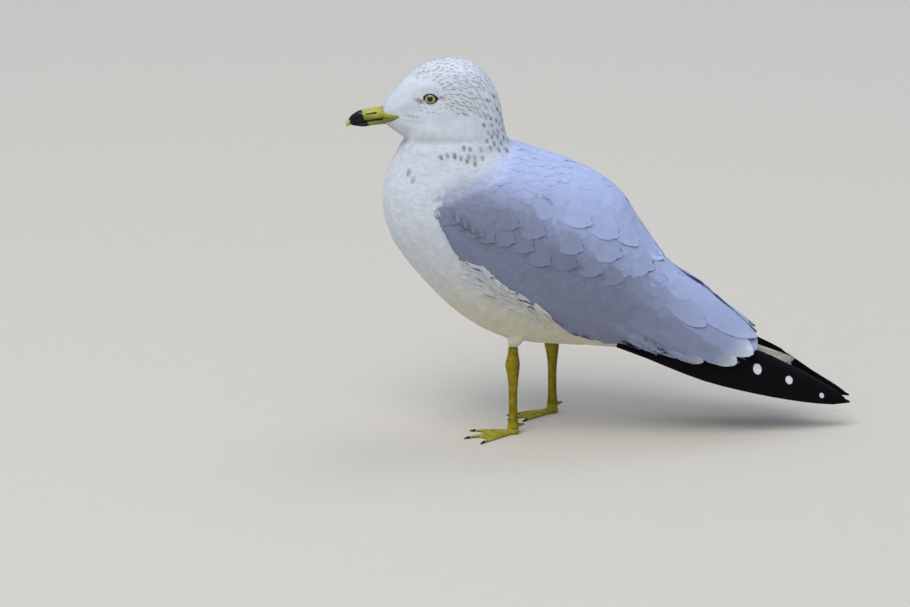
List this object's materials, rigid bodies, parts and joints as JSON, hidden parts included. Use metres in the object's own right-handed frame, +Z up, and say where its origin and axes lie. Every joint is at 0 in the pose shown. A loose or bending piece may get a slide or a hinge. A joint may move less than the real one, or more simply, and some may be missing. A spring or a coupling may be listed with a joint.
{
  "type": "ring-billed gull model",
  "caption": "Life-size still model of a ring-billed gull standing on both feet, in pale grey and white plumage with black wing tips.",
  "frame": {"origin": "on the floor, under the centre of the bird's bounding box", "axes": "+X from bill to tail, +Y towards the bird's right side, +Z up"},
  "size_m": [0.4184, 0.1125, 0.317],
  "materials": {
    "white_plumage": "soft overlapping feathers",
    "grey_plumage": "smooth overlapping feathers",
    "black_plumage": "stiff, slightly glossy feathers",
    "bill": "horny, satin",
    "eye": "wet and clear",
    "leg": "scaly, satin",
    "claw": "satin horn"
  },
  "bodies": {
    "root": {"bill_lower": "bill", "bill_upper": "bill", "claw_left_hind": "claw", "claw_left_inner": "claw", "claw_left_middle": "claw", "claw_left_outer": "claw", "claw_right_hind": "claw", "claw_right_inner": "claw", "claw_right_middle": "claw", "claw_right_outer": "claw", "eye_left": "eye", "eye_right": "eye", "foot_left": "leg", "foot_right": "leg", "head": "white_plumage", "neck": "white_plumage", "primaries_left": "black_plumage", "primaries_right": "black_plumage", "shank_left": "leg", "shank_right": "leg", "tail": "white_plumage", "thigh_left": "white_plumage", "thigh_right": "white_plumage", "trunk": "white_plumage", "wing_left": "grey_plumage", "wing_right": "grey_plumage"}
  },
  "joints": []
}
